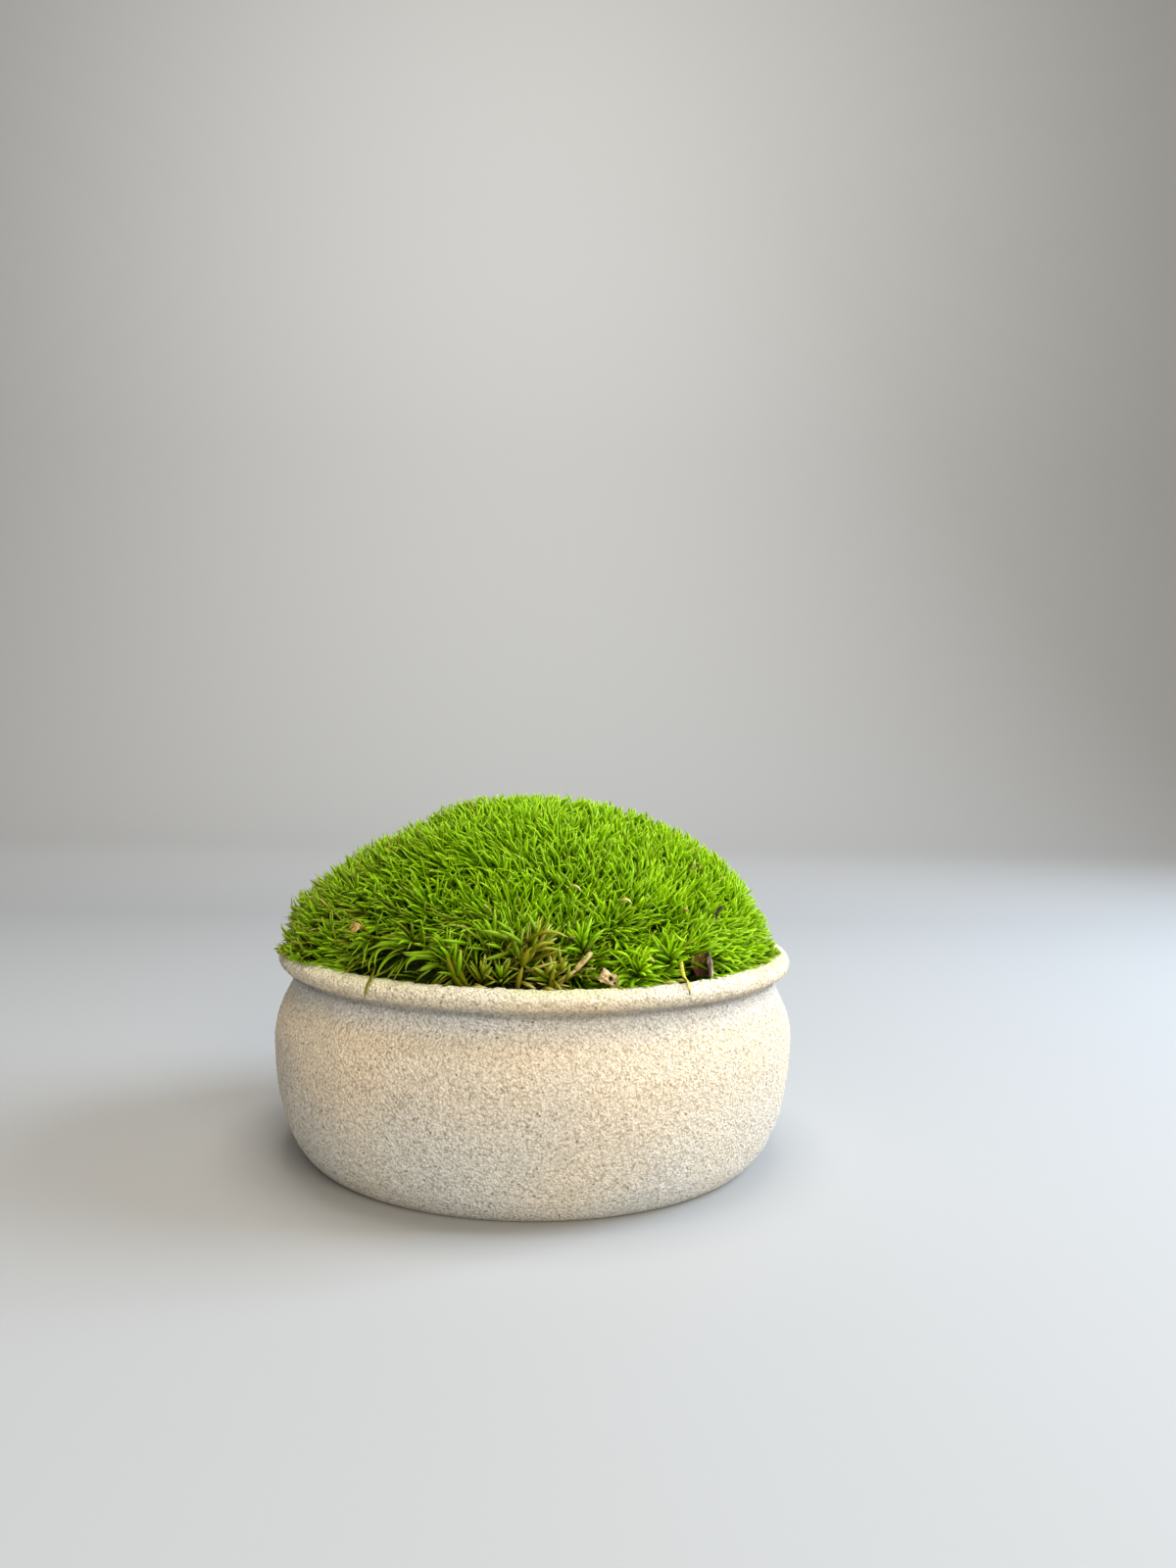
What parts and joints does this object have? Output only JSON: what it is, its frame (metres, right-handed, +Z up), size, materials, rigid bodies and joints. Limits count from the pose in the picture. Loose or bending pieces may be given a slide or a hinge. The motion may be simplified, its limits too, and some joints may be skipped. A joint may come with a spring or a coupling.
{
  "type": "moss clump in a bowl",
  "caption": "Domed cushion of broom moss with a tufted surface and bits of dry litter, growing in soil in a small round bowl of rough sandy ceramic with a rolled rim.",
  "frame": {"origin": "centre of the bowl's flat foot, on the surface that it stands on", "axes": "+Z up along the bowl's axis, -Y towards the picture's front, +X to the right as seen from the front"},
  "size_m": [0.11, 0.11, 0.0748],
  "materials": {
    "sandy_ceramic": "matte",
    "potting_soil": "matte",
    "broom_moss": "matte",
    "brown_leaf": "matte",
    "pale_bark": "matte",
    "rusty_leaf": "matte",
    "dry_straw": "matte",
    "yellowed_moss": "matte",
    "dark_stem": "matte"
  },
  "bodies": {
    "root": {"bowl": "sandy_ceramic", "soil": "potting_soil", "moss_clump": "broom_moss", "curled_husk": "brown_leaf", "bark_chip": "pale_bark", "leaf_crumb": "rusty_leaf", "dry_stalk": "dry_straw", "dry_blade": "yellowed_moss", "dark_stem": "dark_stem"}
  },
  "joints": []
}
